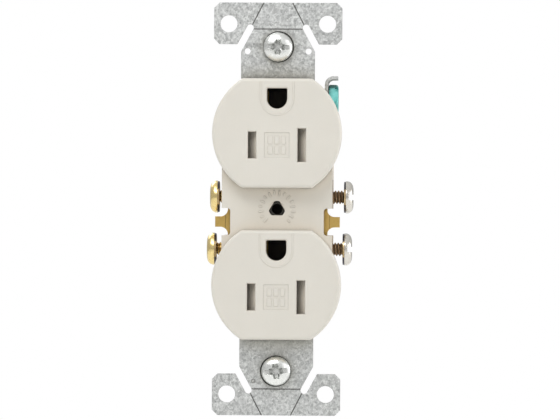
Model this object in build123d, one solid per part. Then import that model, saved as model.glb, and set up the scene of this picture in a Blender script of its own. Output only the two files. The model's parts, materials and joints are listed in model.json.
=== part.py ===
from build123d import *
from math import atan2, degrees, hypot
import os

# A duplex wall outlet: two shuttered, grounded faces on a steel mounting strap.
# X runs to the right, Z up, and the faces look along -Y. The origin is the centre of the strap's
# rear plane, so the strap and cover lie in front of Y = 0 and the body behind it. Millimetres.

# Faces
face_spacing = 38.9          # between the two face centres
face_radius = 16.6
face_half_height = 14.0      # from a face's centre to either flat
face_corner_round = 1.0
face_rim_round = 0.8

# Plug openings, about a face's centre
blade_offset = 6.35          # from the middle to either blade
blade_drop = 3.09            # blades lie this far below the face's centre
ground_rise = 8.83           # the ground pin lies this far above it
hot_slot_width = 2.07
hot_slot_height = 6.83
neutral_slot_width = 2.1
neutral_slot_height = 8.54
slot_edge_break = 0.2
ground_hole_radius = 2.6
ground_hole_flat = 2.65      # from the pin's centre up to the opening's flat top
ground_edge_break = 0.3
ground_step_offset = 1.6     # the raised border outside the ground opening
ground_step_width = 0.35
ground_step_height = 0.06
badge_size = 6.4
badge_depth = 0.09
badge_columns = 3
badge_rows = 2
badge_pad_width = 1.1
badge_pad_height = 2.0
badge_pad_gap = 0.6

# Cover and body
cover_wall = 1.8
base_front = -3.0            # the cover's lower level, between the faces
overhang_wall = 1.2          # behind the stretch where a face is wider than the body
corner_wall = 1.2            # of the base, in front of the ground terminal
body_half_width = 14.2
body_depth = 22.8
body_end_margin = 0.15       # the body stops this far short of the faces' outer flats
body_corner_width = 5.2      # slanted corners, along X
body_corner_height = 5.7     # and along Z
body_rear_round = 1.2
rear_wall = 1.8
spine_half_width = 4.3       # the wall between the two live cavities
cavity_outer = 10.6
cavity_side_wall = 1.8
cavity_end_room = 0.85       # beyond the outer edges of the blade clips
base_corner_round = 0.8
tube_wall = 1.0              # around each ground opening, from the face to the strap
pin_reach = 12.6             # a ground pin's tip lies this far behind the strap's rear plane
pin_tip_room = 1.4

# Centre hole and its ring of marks
centre_inradius = 1.6
centre_corner_radius = 2.1
centre_rim_radius = 2.1
centre_rim_depth = 0.35
centre_bore_radius = 2.7
centre_bore_depth = 12.0
mark_inner = 3.5
mark_length = 1.2
short_mark_length = 0.85
mark_width = 0.38
mark_height = 0.14
mark_count = 16
mark_arc = 270.0

# Mounting strap
strap_thickness = 0.9
strap_length = 106.2
ear_width = 33.0
ear_height = 10.7
ear_chamfer = 1.4
neck_half_width = 9.5
neck_shoulder = 40.5         # where the neck starts to slant, from the centre
neck_tip_half_width = 6.4
neck_tip = 46.2
ear_slot_width = 1.8
ear_slot_length = 9.0
ear_hole_radius = 2.2
ear_hole_spacing_x = 25.4
ear_hole_spacing_z = 95.3
score_width = 0.24
score_depth = 0.22
score_height = 46.3          # of the straight groove, and of where the slanted ones start
slant_start = 46.9
slant_start_half_width = 6.9
slant_end_half_width = 3.7
lug_hole_radius = 0.8
lug_hole_x = 7.85
lug_hole_z = 40.6
dimple_radius = 0.55
dimple_x = -5.9
dimple_z = -44.3
waist_half_width = 3.2
blade_room = 1.4             # between the wide slots' ends and the strap's wide ends
ground_pad_half_width = 4.8
ground_pad_margin = 4.2
rivet_pad_margin = 2.2
pin_clearance_half_width = 3.0
pin_clearance_below = 3.0
pin_clearance_above = 3.2
screw_spacing = 83.3         # between the two mounting screws
mounting_slot_length = 6.6
mounting_slot_height = 4.0
head_recess_margin = 0.22    # a shallow round recess that each mounting screw's head hangs in
head_recess_depth = 0.35
upper_recess_shift = (0.14, 0.1)     # the recesses lie off the screws' axes, along X and Z
lower_recess_shift = (-0.18, -0.06)
tapped_radius = 1.4          # tapped centre hole for the wall plate's screw
collar_radius = 2.3
collar_length = 1.2

# Ground terminal, one piece with the strap
ground_screw_depth = 6.5
ground_screw_rise = 9.0      # above the upper face's centre
ground_arm_below = 3.2       # these four are measured from the ground screw's axis
ground_arm_above = 1.4
ground_plate_below = 3.6
ground_plate_above = 5.9
ground_plate_x = 12.05
ground_plate_thickness = 0.85
ground_plate_front = 1.4
ground_plate_depth = 12.6
ground_lip_reach = 15.4
ground_bend_radius = 2.2

# Terminal bars
bar_thickness = 0.8
terminal_floor = 12.0        # the plates lie on the body at this distance from the middle
terminal_centre = -3.6
terminal_spacing = 13.5      # between a side's two screws
plate_half_height = 11.0
bar_front = 3.0
bar_back = 13.6
screw_depth = 8.3            # the screws' axes lie this far behind the strap's rear plane
link_depth = 2.4
link_height = 4.6
notch_centre = -3.3
notch_height = 7.0
fin_reach = 16.1
fin_height = 2.7
fin_base_height = 6.6
fin_thickness = 0.7
fin_groove_x = 13.4
fin_groove = 0.15
jog_front = 6.0
jog_back = 12.0
clip_front = 0.3
clip_back = 14.0
clip_width = 6.8
clip_gap = 1.7
clip_leaf = 0.6
clip_flare = 0.5
clip_flare_depth = 1.5

# Screws
thread_radius = 1.75         # number 6
tapped_clearance = 0.05      # radial, between a number 6 thread and its tapped hole
collar_wall = 1.0            # of the metal drawn out around a terminal's tapped hole
terminal_head_radius = 4.15
terminal_head_thickness = 2.45
terminal_thread_length = 7.4
screw_slot_width = 1.45
screw_slot_depth = 1.26
head_round = 1.1
upper_hot_gap = 2.35         # from each plate to its screw's head, as the screws stand
lower_hot_gap = 3.1
upper_neutral_gap = 4.3
lower_neutral_gap = 4.0
ground_head_flats = 7.0
ground_head_turn = 14.0      # of a corner, from the depth axis towards the top
ground_head_thickness = 2.6
ground_crown_radius = 4.0
ground_head_round = 0.6
ground_thread_length = 6.4
ground_slot_width = 1.2
ground_slot_depth = 1.0
ground_slot_turn = 128.0
seat_gap = 0.05
mounting_head_radius = 3.75
mounting_head_thickness = 2.2
mounting_head_round = 1.54
drive_cross_length = 4.4
drive_cross_width = 1.0
drive_cross_depth = 1.2
mounting_head_stand = 0.8    # between the strap and the underside of the head
mounting_shank_length = 19.0
relief_radius = 1.5
relief_length = 0.5
washer_size = 8.0
washer_thickness = 1.2
washer_corner = 1.0
assembly_upper_x = 7.4
assembly_lower_x = 7.0
assembly_radius = 1.35
assembly_head_radius = 2.1
assembly_head_thickness = 1.5
assembly_head_inset = 4.8    # from the body's rear to the seats of the heads
assembly_tip = -4.5
assembly_pilot_clearance = 0.03
assembly_cross_length = 2.6
assembly_cross_width = 0.7
assembly_cross_depth = 0.9
boss_radius = 2.2
boss_gap = 0.25              # between the bosses and the shutter guides

# Ground contacts and rivets
contact_thickness = 0.6
contact_gap = 5.0
contact_width = 4.8
contact_length = 11.0
contact_margin = 1.8
rivet_rise = 3.78            # rivets lie this far above each face's centre
rivet_radius = 0.9
rivet_head_radius = 1.3
rivet_head_thickness = 0.7
rivet_head_round = 0.42
rivet_tail_radius = 1.3
rivet_tail_thickness = 0.5

# Shutters, about a face's centre
shutter_travel = 2.7
guide_half_width = 11.9
guide_low = -8.6
guide_high = 2.3
guide_front = -2.9
slider_low = -8.3
slider_high = 2.1
slider_left = -11.4
slider_right = 8.4
slider_thickness = 2.8
slider_guide_gap = 0.2
slider_face_gap = 0.4
shutter_window_margin = 0.2
ramp_length = 2.2
ramp_land = 0.5              # left at full thickness behind a ramp
spring_post_x = 0.9
spring_post_width = 0.6
spring_post_height = 1.2
spring_radius = 0.75
spring_wire_radius = 0.1
spring_turns = 6
spring_length = 5.8
spring_end_gap = 0.05
spring_pocket_play = 0.25
spring_pocket_depth = 2.1

# Push-in wire clamps
wire_port_radius = 1.1
wire_port_x = 9.4
wire_port_rise = 1.15        # from the jog's face to the middle of the wire
clamp_width = 2.1
clamp_thickness = 0.3
clamp_tip_depth = 11.2
clamp_tip_gap = 0.45
clamp_root_inset = 0.6       # from the body's rear wall to the root's axis
clamp_pivot_rise = 5.0       # from the jog's face to the clamp's root
clamp_root_radius = 0.25
clamp_rib_gap = 0.1
clamp_rib_height = 1.2
clamp_rib_depth = 1.4
release_slot_width = 3.0
release_slot_height = 1.2
release_slot_rise = 3.6

# General clearances
fit_gap = 0.2                # around a piece that lies in a pocket
pocket_play = 0.5            # in front of and behind the terminal plates
contact_play = 0.3           # around the ground contacts
deep_cut = 60.0              # longer than anything that it cuts through
past = 1.0                   # how far a cut runs past the surface that it opens
join = 0.1                   # how far a cut reaches into the space that it meets

strap_front = -strap_thickness
slider_back = guide_front - slider_guide_gap
slider_front = slider_back - slider_thickness
face_back = slider_front - slider_face_gap
face_front = face_back - cover_wall
upper_face = face_spacing / 2
lower_face = -face_spacing / 2
face_centres = {"upper": upper_face, "lower": lower_face}
body_end = upper_face + face_half_height - body_end_margin
cavity_back = body_depth - rear_wall
clip_end = clip_width / 2 + cavity_end_room
cavity_high = upper_face - blade_drop + clip_end
cavity_low = lower_face - blade_drop - clip_end
blade_end = neutral_slot_height / 2 + blade_room
upper_neck_start = upper_face - blade_drop + blade_end
lower_neck_start = lower_face - blade_drop - blade_end
ground_screw_z = upper_face + ground_screw_rise
ground_arm_low = ground_screw_z - ground_arm_below
ground_arm_high = ground_screw_z + ground_arm_above
ground_plate_low = ground_screw_z - ground_plate_below
ground_plate_top = ground_screw_z + ground_plate_above
plate_outside = terminal_floor + bar_thickness
plate_high = terminal_centre + plate_half_height
plate_low = terminal_centre - plate_half_height
relief_start = seat_gap + washer_thickness + fit_gap
screw_heights = {
    "upper": terminal_centre + terminal_spacing / 2,
    "lower": terminal_centre - terminal_spacing / 2,
}
tapped_hole_radius = thread_radius + tapped_clearance
thread_collar_radius = tapped_hole_radius + collar_wall
thread_collar_end = terminal_floor - collar_length
ear_inner = strap_length / 2 - ear_height
clamp_pivot_depth = cavity_back - clamp_root_inset
assembly_seat = body_depth - assembly_head_inset
assembly_upper_z = upper_face + guide_high + boss_gap + boss_radius
assembly_lower_z = lower_face + guide_low - boss_gap - boss_radius
upper_assembly = [(-assembly_upper_x, assembly_upper_z), (assembly_upper_x, assembly_upper_z)]
lower_assembly = [(-assembly_lower_x, assembly_lower_z), (assembly_lower_x, assembly_lower_z)]
blade_slots = (
    (-blade_offset, hot_slot_width, hot_slot_height),
    (blade_offset, neutral_slot_width, neutral_slot_height),
)
assembly_places = {"upper": upper_assembly, "lower": lower_assembly}


def block(x_range, y_range, z_range):
    """A box between the given places along each axis."""
    ranges = (x_range, y_range, z_range)
    middle = [(low + high) / 2 for low, high in ranges]
    return Pos(*middle) * Box(*[high - low for low, high in ranges])


def slab(outline, y_from, y_to):
    """An outline drawn in X and Z, as thick as from one depth to the other."""
    return extrude(Plane.XZ.offset(-y_to) * outline, amount=y_to - y_from)


def rod_y(x, z, radius, y_from, y_to):
    """A round bar along Y."""
    return slab(Pos(x, z) * Circle(radius), y_from, y_to)


def rod_x(y, z, radius, x_from, x_to):
    """A round bar along X."""
    return Pos((x_from + x_to) / 2, y, z) * Rot(0, 90, 0) * Cylinder(radius, x_to - x_from)


def both_sides(shape):
    """A right-hand shape together with its left-hand mirror image."""
    return shape + mirror(shape, about=Plane.YZ)


def bar_between(start, end, width):
    """A straight strip in X and Z from one point to another."""
    run = (end[0] - start[0], end[1] - start[1])
    turn = degrees(atan2(run[1], run[0]))
    middle = ((start[0] + end[0]) / 2, (start[1] + end[1]) / 2)
    return Pos(*middle) * Rot(0, 0, turn) * Rectangle(hypot(*run), width)


def corner_distance(edge, corner):
    """How far an edge along Y lies from a corner, seen along Y."""
    middle = edge.center()
    return hypot(middle.X - corner[0], middle.Z - corner[1])


# Outlines in X and Z

def cross(length, width):
    """Two bars that cross in the middle."""
    return Rectangle(length, width) + Rectangle(width, length)


def face_outline(inset=0.0):
    """A round face with a flat above and below."""
    height = 2 * (face_half_height - inset)
    return Circle(face_radius - inset) & Rectangle(2 * face_radius, height)


def body_outline():
    """The rectangle of the body and base, with four slanted corners."""
    side = body_half_width
    shoulder = body_end - body_corner_height
    tip = body_half_width - body_corner_width
    quarter = [(side, shoulder), (tip, body_end)]
    left_top = [(-x, z) for x, z in reversed(quarter)]
    bottom = [(x, -z) for x, z in left_top[::-1]] + [(x, -z) for x, z in quarter[::-1]]
    return Polygon(*(quarter + left_top + bottom), align=None)


def ground_opening(grow=0.0):
    """The round-bottomed ground opening, about the pin's centre."""
    radius = ground_hole_radius + grow
    height = ground_hole_flat + grow
    top = Pos(0, height / 2) * Rectangle(2 * radius, height)
    top = chamfer(top.vertices().sort_by(Axis.Y)[-2:], ground_edge_break)
    return top + (Circle(radius) & Pos(0, -radius / 2) * Rectangle(2 * radius, radius))


def centre_opening():
    """A triangle pointing down whose corners are cut by a circle."""
    triangle = RegularPolygon(centre_inradius, 3, major_radius=False, rotation=-30)
    return triangle & Circle(centre_corner_radius)


def notch_outline():
    """The notch beside the break-off fin, open to the right."""
    reach = body_half_width - terminal_floor + 2 * base_corner_round
    middle = terminal_floor + reach / 2
    return Pos(middle, notch_centre) * RectangleRounded(reach, notch_height, base_corner_round)


# Cover

def cover_hollow(centre):
    """The space inside one raised face."""
    inside = Pos(0, centre) * face_outline(cover_wall)
    narrow = Rectangle(2 * (body_half_width - cover_wall), 2 * deep_cut)
    floor = base_front - overhang_wall
    return slab(inside, face_back, floor) + slab(inside & narrow, floor, 0)


def plug_openings(centre):
    """The two blade slots and the ground opening, with broken edges."""
    pin = Pos(0, centre + ground_rise)
    cuts = slab(pin * ground_opening(), face_front - past, 0)
    rim = Plane.XZ.offset(-face_front) * pin * ground_opening(ground_edge_break)
    cuts += extrude(rim, amount=-ground_edge_break, taper=45)
    for x, width, height in blade_slots:
        place = Pos(x, centre - blade_drop)
        cuts += slab(place * Rectangle(width, height), face_front - past, face_back + join)
        wide = Rectangle(width + 2 * slot_edge_break, height + 2 * slot_edge_break)
        mouth = Plane.XZ.offset(-face_front) * place * wide
        cuts += extrude(mouth, amount=-slot_edge_break, taper=45)
    return cuts


def badge(centre):
    """A shallow square recess that holds rows of plain upright pads."""
    floor = face_front + badge_depth
    place = Pos(0, centre - blade_drop)
    pitch = (badge_pad_width + badge_pad_gap, badge_pad_height + badge_pad_gap)
    pad = Rectangle(badge_pad_width, badge_pad_height)
    pads = Sketch() + [spot * pad for spot in GridLocations(*pitch, badge_columns, badge_rows)]
    recess = slab(place * Rectangle(badge_size, badge_size), face_front - past, floor)
    return recess - slab(place * pads, face_front, floor)


def ground_border(centre):
    """A low rib that runs beside the ground opening and up to the face's top."""
    place = Pos(0, centre + ground_rise)
    middle = ground_hole_radius + ground_step_offset
    outer = middle + ground_step_width / 2
    inner = middle - ground_step_width / 2
    top = face_half_height - ground_rise - face_rim_round
    rows = []
    for reach in (outer, inner):
        rows.append(Circle(reach) & Pos(0, -reach / 2) * Rectangle(2 * reach, reach))
        rows[-1] += Pos(0, top / 2) * Rectangle(2 * reach, top)
    rib = place * (rows[0] - rows[1])
    return slab(rib, face_front - ground_step_height, face_front)


def ring_of_marks():
    """Short radial marks around the centre hole, open at the bottom."""
    marks = []
    for number in range(mark_count):
        angle = 90 + mark_arc * (number / (mark_count - 1) - 0.5)
        length = mark_length if number % 2 else short_mark_length
        mark = Pos(mark_inner + mark_length - length / 2, 0) * Rectangle(length, mark_width)
        marks.append(Rot(0, 0, angle) * mark)
    return slab(Sketch() + marks, base_front - mark_height, base_front)


def strap_channel():
    """Room in the cover's back for the strap and its ground arm."""
    length = upper_neck_start - fit_gap
    neck = neck_half_width + fit_gap
    waist = waist_half_width + fit_gap
    pad = ground_pad_half_width + fit_gap
    depth = (strap_front, 0)
    channel = block((-waist, waist), depth, (lower_neck_start, length))
    channel += block((-neck, neck), depth, (length, deep_cut))
    channel += block((-neck, neck), depth, (-deep_cut, lower_neck_start + fit_gap))
    low, high = ground_pad_range()
    channel += block((-pad, pad), depth, (low - fit_gap, high + fit_gap))
    arm = (ground_arm_low - fit_gap, ground_arm_high + fit_gap)
    return channel + block((0, body_half_width + past), depth, arm)


def ground_pad_range():
    """The heights between which the strap widens around the lower ground hole."""
    return lower_face + rivet_rise - rivet_pad_margin, lower_face + ground_rise + ground_pad_margin


def ground_corner():
    """The corner of the body and base that is left free for the ground terminal."""
    front = base_front + corner_wall
    inner = ground_plate_x - contact_play
    return block((inner, deep_cut), (front, deep_cut), (ground_plate_low - contact_play, deep_cut))


def make_cover():
    """The moulded front: base, two raised faces, ground tubes and screw bosses."""
    cover = slab(body_outline(), base_front, 0)
    for centre in face_centres.values():
        face = slab(Pos(0, centre) * face_outline(), face_front, base_front)
        face = fillet(face.edges().filter_by(Axis.Y), face_corner_round)
        face = fillet(face.faces().sort_by(Axis.Y)[0].edges(), face_rim_round)
        cover += face
    for centre in face_centres.values():
        cover -= cover_hollow(centre)
    for centre in face_centres.values():
        tube = Pos(0, centre + ground_rise) * ground_opening(tube_wall)
        inside = slab(Pos(0, centre) * face_outline(cover_wall / 2), face_back, strap_front)
        cover += slab(tube, face_back, strap_front) & inside
        cover += ground_border(centre)
    pilot = assembly_radius + assembly_pilot_clearance
    for x, z in upper_assembly + lower_assembly:
        cover += rod_y(x, z, boss_radius, face_back, strap_front)
        cover -= rod_y(x, z, pilot, assembly_tip - fit_gap, 0)
    for centre in face_centres.values():
        cover -= plug_openings(centre)
        cover -= badge(centre)
    cover += ring_of_marks()
    cover -= strap_channel()
    cover -= slab(centre_opening(), base_front - past, 0)
    rim = Plane.XZ.offset(-base_front) * Circle(centre_rim_radius)
    cover -= extrude(rim, amount=-centre_rim_depth, taper=45)
    cover -= both_sides(slab(notch_outline(), base_front - past, past))
    return cover - ground_corner()


# Body

def clamp_axis(up):
    """Depth and height of a push-in clamp's root; up is 1 above the terminals and -1 below."""
    return clamp_pivot_depth, terminal_centre + up * (plate_half_height + clamp_pivot_rise)


def live_cavity():
    """The right-hand cavity that holds a terminal bar's inner parts."""
    depth = (-past, cavity_back)
    cavity = block((spine_half_width, cavity_outer), depth, (cavity_low, cavity_high))
    side = (cavity_outer - join, body_half_width - cavity_side_wall)
    cavity += block(side, depth, (plate_high + cavity_side_wall, cavity_high))
    cavity += block(side, depth, (cavity_low, plate_low - cavity_side_wall))
    for up in (1, -1):
        root = clamp_axis(up)[1] + up * (clamp_thickness / 2 + clamp_root_radius + clamp_rib_gap)
        rib = sorted((root, root + up * clamp_rib_height))
        wide = (wire_port_x - clamp_width / 2 - fit_gap, cavity_outer + past)
        cavity -= block(wide, (cavity_back - clamp_rib_depth, cavity_back), rib)
    return cavity


def terminal_pocket():
    """The right-hand pocket around a bar's plate, its screws and its passages inward."""
    outside = body_half_width + past
    heights = (plate_low - fit_gap, plate_high + fit_gap)
    pocket = block((terminal_floor, outside), (bar_front - pocket_play, bar_back + pocket_play), heights)
    pocket += slab(notch_outline(), -past, body_depth + past)
    jog = (jog_front - fit_gap, jog_back + fit_gap)
    through = (cavity_outer - join, terminal_floor + join)
    for low, high in (
        (plate_high - bar_thickness - fit_gap, plate_high + fit_gap),
        (plate_low - fit_gap, plate_low + bar_thickness + fit_gap),
    ):
        pocket += block(through, jog, (low, high))
    for height in screw_heights.values():
        pocket += rod_x(screw_depth, height, thread_collar_radius + fit_gap, *through)
    for up in (1, -1):
        port = terminal_centre + up * (plate_half_height + wire_port_rise)
        pocket += rod_y(wire_port_x, port, wire_port_radius, cavity_back - join, body_depth + past)
        release = port + up * (release_slot_rise - wire_port_rise)
        slot = Pos(wire_port_x, release) * Rectangle(release_slot_width, release_slot_height)
        pocket += slab(slot, cavity_back - join, body_depth + past)
    return pocket


def ground_pocket(centre):
    """The cavity behind a ground opening, with a recess for the contact's base and rivet."""
    half = contact_gap / 2 + contact_thickness + fit_gap
    pin = centre + ground_rise
    low = pin - contact_width / 2 - contact_play
    high = pin + contact_width / 2 + contact_play
    rivet = centre + rivet_rise
    pocket = block((-half, half), (-past, pin_reach + pin_tip_room), (low, high))
    base = (rivet - contact_margin - fit_gap, high)
    pocket += block((-half, half), (-past, contact_thickness + join), base)
    tail = contact_thickness + rivet_tail_thickness + contact_play
    return pocket + rod_y(0, rivet, rivet_tail_radius + contact_play, -past, tail)


def make_body():
    """The moulded rear housing."""
    body = slab(body_outline(), 0, body_depth)
    body = fillet(body.faces().sort_by(Axis.Y)[-1].edges(), body_rear_round)
    body -= both_sides(live_cavity())
    body -= both_sides(terminal_pocket())
    for centre in face_centres.values():
        body -= ground_pocket(centre)
    body -= rod_y(0, 0, centre_bore_radius, -past, centre_bore_depth)
    for x, z in upper_assembly + lower_assembly:
        body -= rod_y(x, z, assembly_radius + fit_gap, -past, body_depth + past)
        body -= rod_y(x, z, assembly_head_radius + fit_gap, assembly_seat, body_depth + past)
    body -= ground_corner()
    tip = ground_plate_x - ground_thread_length - past
    body -= rod_x(ground_screw_depth, ground_screw_z, thread_radius + fit_gap, tip, deep_cut)
    collar_end = ground_plate_x - collar_length - fit_gap
    wide = thread_collar_radius + fit_gap
    return body - rod_x(ground_screw_depth, ground_screw_z, wide, collar_end, deep_cut)


# Strap

def strap_end(neck_start):
    """The outline of one end of the strap, from where its neck starts to its ears, pointing up."""
    outer = strap_length / 2
    half = ear_width / 2
    ears = Pos(0, (outer + ear_inner) / 2) * Rectangle(2 * half, outer - ear_inner)
    ears = chamfer(ears.vertices(), ear_chamfer)
    run = (neck_half_width - neck_tip_half_width, neck_shoulder - neck_tip)
    length = hypot(*run)
    along = (run[0] / length, run[1] / length)
    away = (-along[1] * ear_slot_width / 2, along[0] * ear_slot_width / 2)
    middle = (
        neck_tip_half_width + away[0] + along[0] * (ear_slot_length - ear_slot_width) / 2,
        neck_tip + away[1] + along[1] * (ear_slot_length - ear_slot_width) / 2,
    )
    turn = degrees(atan2(run[1], run[0]))
    slot = Pos(*middle) * Rot(0, 0, turn) * SlotOverall(ear_slot_length, ear_slot_width)
    ears -= slot + mirror(slot, about=Plane.YZ)
    neck = Polygon(
        (-neck_half_width, neck_start), (neck_half_width, neck_start),
        (neck_half_width, neck_shoulder), (neck_tip_half_width, neck_tip),
        (-neck_tip_half_width, neck_tip), (-neck_half_width, neck_shoulder),
        align=None,
    )
    return ears + neck


def score_lines():
    """Grooves along which one end's ears break off."""
    low = (neck_tip_half_width, score_height)
    start = (slant_start_half_width, slant_start)
    end = (slant_end_half_width, strap_length / 2)
    lines = bar_between((-low[0], low[1]), low, score_width)
    side = bar_between(start, end, score_width)
    return lines + side + mirror(side, about=Plane.YZ)


def ground_terminal():
    """The arm, plate, outward lip and thread collar at the strap's right-hand side."""
    inner = ground_plate_x
    outer = ground_plate_x + ground_plate_thickness
    arm = block((neck_half_width, outer), (strap_front, 0), (ground_arm_low, ground_arm_high))
    neck = block((inner, outer), (strap_front, bar_front), (ground_arm_low, ground_arm_high))
    depth = (ground_plate_front, ground_plate_depth)
    plate = block((inner, outer), depth, (ground_plate_low, ground_plate_top))
    lip_low = ground_plate_top - ground_plate_thickness
    lip = block((inner, ground_lip_reach), depth, (lip_low, ground_plate_top))
    flag = plate + lip
    for corner, radius in (
        ((inner, ground_plate_top), ground_bend_radius),
        ((outer, lip_low), ground_bend_radius - ground_plate_thickness),
    ):
        bend = flag.edges().filter_by(Axis.Y).sort_by(lambda edge: corner_distance(edge, corner))[0]
        flag = fillet(bend, radius)
    shape = arm + neck + flag
    collar = inner - collar_length
    shape += rod_x(ground_screw_depth, ground_screw_z, thread_collar_radius, collar, outer)
    hole = (collar - past, outer + past)
    return shape - rod_x(ground_screw_depth, ground_screw_z, tapped_hole_radius, *hole)


def make_strap():
    """The steel strap, its ears and its ground terminal."""
    outline = strap_end(upper_neck_start) + mirror(strap_end(-lower_neck_start), about=Plane.XZ)
    waist_middle = (upper_neck_start + lower_neck_start) / 2
    waist_length = upper_neck_start - lower_neck_start
    outline += Pos(0, waist_middle) * Rectangle(2 * waist_half_width, waist_length)
    low, high = ground_pad_range()
    outline += Pos(0, (low + high) / 2) * Rectangle(2 * ground_pad_half_width, high - low)
    for x in (-0.5, 0.5):
        for z in (-0.5, 0.5):
            outline -= Pos(x * ear_hole_spacing_x, z * ear_hole_spacing_z) * Circle(ear_hole_radius)
    for z in (-0.5, 0.5):
        outline -= Pos(0, z * screw_spacing) * SlotOverall(mounting_slot_length, mounting_slot_height)
    for x in (-lug_hole_x, lug_hole_x):
        outline -= Pos(x, lug_hole_z) * Circle(lug_hole_radius)
    for centre in face_centres.values():
        pin_height = pin_clearance_above + pin_clearance_below
        pin_middle = centre + ground_rise + (pin_clearance_above - pin_clearance_below) / 2
        hole = RectangleRounded(2 * pin_clearance_half_width, pin_height, base_corner_round)
        outline -= Pos(0, pin_middle) * hole
        outline -= Pos(0, centre + rivet_rise) * Circle(rivet_radius)
    strap = slab(outline, strap_front, 0)
    strap += rod_y(0, 0, collar_radius, 0, collar_length)
    strap -= rod_y(0, 0, tapped_radius, strap_front - past, collar_length + past)
    for x, z in upper_assembly + lower_assembly:
        strap -= rod_y(x, z, assembly_radius + fit_gap, strap_front - past, past)
    recess = mounting_head_radius + head_recess_margin
    recess_depth = (strap_front - past, strap_front + head_recess_depth)
    for height, (x, z) in ((0.5, upper_recess_shift), (-0.5, lower_recess_shift)):
        strap -= rod_y(x, height * screw_spacing + z, recess, *recess_depth)
    scores = score_lines()
    groove = (strap_front - past, strap_front + score_depth)
    strap -= slab(scores + mirror(scores, about=Plane.XZ), *groove)
    strap -= rod_y(dimple_x, dimple_z, dimple_radius, *groove)
    return strap + ground_terminal()


# Terminal bars

def blade_clip(centre):
    """The right-hand pair of leaves that grips one blade."""
    half = clip_gap / 2
    mouth = clip_front + clip_flare_depth
    leaf = Polygon(
        (half + clip_flare, clip_front), (half + clip_flare + clip_leaf, clip_front),
        (half + clip_leaf, mouth), (half + clip_leaf, clip_back), (0, clip_back),
        (0, clip_back - clip_leaf), (half, clip_back - clip_leaf), (half, mouth),
        align=None,
    )
    pair = Pos(blade_offset, 0) * (leaf + mirror(leaf, about=Plane.YZ))
    low = centre - blade_drop - clip_width / 2
    return extrude(Plane.XY.offset(low) * pair, amount=clip_width)


def make_bar():
    """The right-hand bar: plate, fin, thread collars, inner strips and blade clips."""
    plate = (terminal_floor, plate_outside)
    bar = block(plate, (bar_front, bar_back), (plate_low, plate_high))
    gap = (notch_centre - link_height / 2, notch_centre + link_height / 2)
    bar -= block((0, deep_cut), (bar_front + link_depth, deep_cut), gap)
    flare = (fin_base_height - fin_height) / 2
    foot = plate_outside - bar_thickness / 2
    fin = Pos((foot + fin_reach) / 2, notch_centre) * Rectangle(fin_reach - foot, fin_height)
    root = plate_outside + flare
    fin += Pos((foot + root) / 2, notch_centre) * Rectangle(root - foot, fin_base_height)
    for up in (1, -1):
        fin -= Pos(root, notch_centre + up * fin_base_height / 2) * Circle(flare)
    bar += slab(fin, bar_front, bar_front + fin_thickness)
    groove = (fin_groove_x - fin_groove, fin_groove_x + fin_groove)
    bar -= block(groove, (bar_front - past, bar_front + fin_groove), (-deep_cut, deep_cut))
    for height in screw_heights.values():
        bar += rod_x(screw_depth, height, thread_collar_radius, thread_collar_end, terminal_floor)
        hole = (thread_collar_end - past, plate_outside + past)
        bar -= rod_x(screw_depth, height, tapped_hole_radius, *hole)
    leaf = (blade_offset + clip_gap / 2, blade_offset + clip_gap / 2 + clip_leaf)
    depth = (jog_front, jog_back)
    low_clip = lower_face - blade_drop
    high_clip = upper_face - blade_drop
    bar += block((leaf[0], plate_outside), depth, (plate_high - bar_thickness, plate_high))
    bar += block((leaf[0], plate_outside), depth, (plate_low, plate_low + bar_thickness))
    bar += block(leaf, depth, (plate_high - bar_thickness, high_clip))
    bar += block(leaf, depth, (low_clip, plate_low + bar_thickness))
    return bar + blade_clip(upper_face) + blade_clip(lower_face)


# Ground contacts

def make_ground_contact(centre):
    """A riveted base with two tines that grip the ground pin."""
    inner = contact_gap / 2
    outer = inner + contact_thickness
    pin = centre + ground_rise
    rivet = centre + rivet_rise
    top = pin + contact_width / 2
    foot = rivet + contact_margin
    contact = block((-outer, outer), (0, contact_thickness), (rivet - contact_margin, foot))
    rail = block((inner, outer), (0, contact_thickness), (rivet, top))
    tine = block((inner, outer), (0, contact_length), (pin - contact_width / 2, top))
    contact += both_sides(rail + tine)
    return contact - rod_y(0, rivet, rivet_radius, -past, past)


def make_rivet(centre):
    """A rivet that holds a ground contact to the back of the strap."""
    height = centre + rivet_rise
    head = rod_y(0, height, rivet_head_radius, strap_front - rivet_head_thickness, strap_front)
    head = fillet(head.edges().sort_by(Axis.Y)[0], rivet_head_round)
    tail_end = contact_thickness + rivet_tail_thickness
    tail = rod_y(0, height, rivet_tail_radius, contact_thickness, tail_end)
    return head + rod_y(0, height, rivet_radius, strap_front, contact_thickness) + tail


# Shutters

def blade_windows(centre, shift, y_from, y_to):
    """Passages for both blades, shifted along X."""
    windows = []
    for x, width, height in blade_slots:
        wide = width + 2 * shutter_window_margin
        tall = height + shutter_window_margin
        hole = Pos(x + shift, centre - blade_drop) * Rectangle(wide, tall)
        windows.append(slab(hole, y_from, y_to))
    return windows


def make_guide(centre):
    """The plate that carries a slider and holds the fixed end of its spring."""
    heights = (centre + guide_low, centre + guide_high)
    guide = block((-guide_half_width, guide_half_width), (guide_front, strap_front), heights)
    for window in blade_windows(centre, 0, guide_front - past, past):
        guide -= window
    post = (spring_post_x, spring_post_x + spring_post_width)
    half = spring_post_height / 2
    height = centre - blade_drop
    post_front = slider_back - spring_pocket_depth + spring_pocket_play
    heights = (height - half, height + half)
    return guide + block(post, (post_front, guide_front), heights)


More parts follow.
